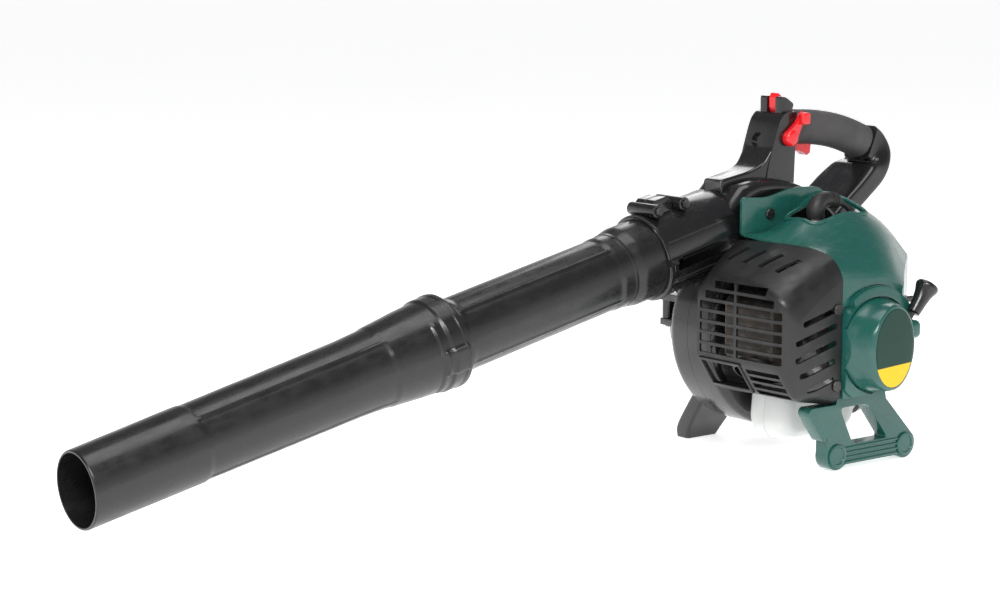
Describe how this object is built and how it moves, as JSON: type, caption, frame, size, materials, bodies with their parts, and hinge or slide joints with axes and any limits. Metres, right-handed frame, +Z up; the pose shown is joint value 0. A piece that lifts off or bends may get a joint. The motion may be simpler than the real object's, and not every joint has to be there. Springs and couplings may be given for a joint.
{
  "type": "handheld leaf blower",
  "caption": "Handheld petrol leaf blower and vacuum with a clamped two-piece air tube, recoil starter, hinged air inlet and a top grip with throttle trigger.",
  "frame": {"origin": "on the ground, under the middle of the whole machine", "axes": "+Z up, -X towards the nozzle mouth, -Y towards the recoil starter, +Y towards the air inlet"},
  "size_m": [0.9372, 0.2547, 0.3486],
  "materials": {
    "black_plastic": "semi-gloss moulded plastic",
    "guard_plastic": "satin heat-resistant plastic",
    "green_plastic": "gloss moulded plastic",
    "grip_rubber": "matt soft rubber",
    "red_plastic": "gloss moulded plastic",
    "tank_plastic": "translucent satin plastic",
    "cast_alloy": "as cast",
    "steel": "machined",
    "dark_steel": "heat-stained steel",
    "rope": "braided cord",
    "lead_rubber": "smooth rubber",
    "label_film": "gloss film",
    "filter_foam": "open foam",
    "ceramic": "glazed ceramic"
  },
  "bodies": {
    "chassis": {"air_filter_base": "black_plastic", "air_filter_element": "filter_foam", "carburettor": "cast_alloy", "clamp_screw_front": "steel", "clamp_screw_rear": "steel", "crankcase": "cast_alloy", "cylinder": "cast_alloy", "engine_shroud": "green_plastic", "fan_housing_far": "black_plastic", "fan_housing_near": "black_plastic", "fuel_tank": "tank_plastic", "grip_sleeve": "grip_rubber", "guard_screw_lower": "steel", "guard_screw_upper": "steel", "handle_bar": "black_plastic", "handle_post": "black_plastic", "handle_rear_arm": "black_plastic", "ignition_coil": "dark_steel", "ignition_lead": "lead_rubber", "inlet_hinge_pin": "steel", "intake_insulator": "lead_rubber", "label_disc": "label_film", "muffler": "dark_steel", "muffler_guard": "guard_plastic", "recoil_spring": "steel", "shroud_screw": "steel", "spark_plug": "ceramic", "spark_plug_boot": "lead_rubber", "stand_frame": "green_plastic", "starter_housing": "green_plastic", "starter_rope": "rope"},
    "upper_tube": {"upper_tube": "black_plastic"},
    "nozzle": {"nozzle_tube": "black_plastic"},
    "inlet_door": {"inlet_door": "black_plastic"},
    "inlet_latch": {"inlet_latch": "black_plastic"},
    "rotor": {"crankshaft": "steel", "flywheel": "cast_alloy", "impeller": "black_plastic"},
    "piston": {"piston": "cast_alloy"},
    "starter_pulley": {"starter_pulley": "black_plastic"},
    "starter_handle": {"starter_handle": "black_plastic"},
    "throttle_trigger": {"throttle_trigger": "red_plastic"},
    "cruise_lever": {"cruise_lever": "red_plastic"},
    "stop_switch": {"stop_switch": "red_plastic"},
    "choke_lever": {"choke_lever": "black_plastic"},
    "primer_bulb": {"primer_bulb": "red_plastic"},
    "fuel_cap": {"fuel_cap": "black_plastic"},
    "air_filter_cover": {"air_filter_cover": "black_plastic"}
  },
  "joints": [
    {"name": "upper_tube_twist", "type": "hinge", "parent": "chassis", "child": "upper_tube", "pos_m": [0.1471, 0.06635, 0.197], "axis": [-0.975, 0, -0.2224], "range_deg": [0, 20]},
    {"name": "nozzle_twist", "type": "hinge", "parent": "upper_tube", "child": "nozzle", "pos_m": [0.1471, 0.06635, 0.197], "axis": [-0.975, 0, -0.2224], "range_deg": [0, 25]},
    {"name": "inlet_door_hinge", "type": "hinge", "parent": "chassis", "child": "inlet_door", "pos_m": [0.2211, 0.10935, 0.136], "axis": [0, 0, 1], "range_deg": [0, 100]},
    {"name": "inlet_latch_turn", "type": "hinge", "parent": "inlet_door", "child": "inlet_latch", "pos_m": [0.3821, 0.11035, 0.119], "axis": [0, 1, 0], "range_deg": [0, 90]},
    {"name": "rotor_spin", "type": "hinge", "parent": "chassis", "child": "rotor", "pos_m": [0.3021, 0.00635, 0.119], "axis": [0, 1, 0], "continuous": true},
    {"name": "piston_stroke", "type": "slide", "parent": "chassis", "child": "piston", "axis": [0, 0, 1], "range_m": [-0.006, 0.016]},
    {"name": "starter_pull", "type": "slide", "parent": "chassis", "child": "starter_handle", "axis": [0.6198, 0, 0.7848], "range_m": [0, 0.6], "stiffness_N_per_m": 8, "springref_m": -0.15, "deforming": ["starter_rope"]},
    {"name": "starter_pulley_turn", "type": "hinge", "parent": "chassis", "child": "starter_pulley", "pos_m": [0.3021, -0.08265, 0.119], "axis": [0, -1, 0], "range_deg": [0, 1470]},
    {"name": "throttle_pull", "type": "hinge", "parent": "chassis", "child": "throttle_trigger", "pos_m": [0.3411, 0.06635, 0.303], "axis": [0, -1, 0], "range_deg": [0, 10], "stiffness_Nm_per_rad": 0.4, "springref_deg": -17.19},
    {"name": "cruise_lever_turn", "type": "hinge", "parent": "chassis", "child": "cruise_lever", "pos_m": [0.3211, 0.04235, 0.305], "axis": [0, -1, 0], "range_deg": [0, 50]},
    {"name": "stop_switch_rock", "type": "hinge", "parent": "chassis", "child": "stop_switch", "pos_m": [0.3251, 0.06635, 0.333], "axis": [0, 1, 0], "range_deg": [-8, 8]},
    {"name": "choke_turn", "type": "hinge", "parent": "air_filter_cover", "child": "choke_lever", "pos_m": [0.3941, -0.03965, 0.146], "axis": [0, -1, 0], "range_deg": [0, 60]},
    {"name": "primer_press", "type": "slide", "parent": "chassis", "child": "primer_bulb", "axis": [0, 0, 1], "range_m": [0, 0.003], "stiffness_N_per_m": 400, "springref_m": -0.001},
    {"name": "fuel_cap_turn", "type": "hinge", "parent": "chassis", "child": "fuel_cap", "pos_m": [0.3581, -0.00565, 0.047], "axis": [0.9635, 0, 0.2676], "range_deg": [0, 270]},
    {"name": "filter_cover_off", "type": "slide", "parent": "chassis", "child": "air_filter_cover", "axis": [1, 0, 0], "range_m": [0, 0.025]}
  ],
  "couplings": [
    {"joint": "starter_pulley_turn", "follows": "starter_pull", "rad_per_m": 42.55}
  ]
}
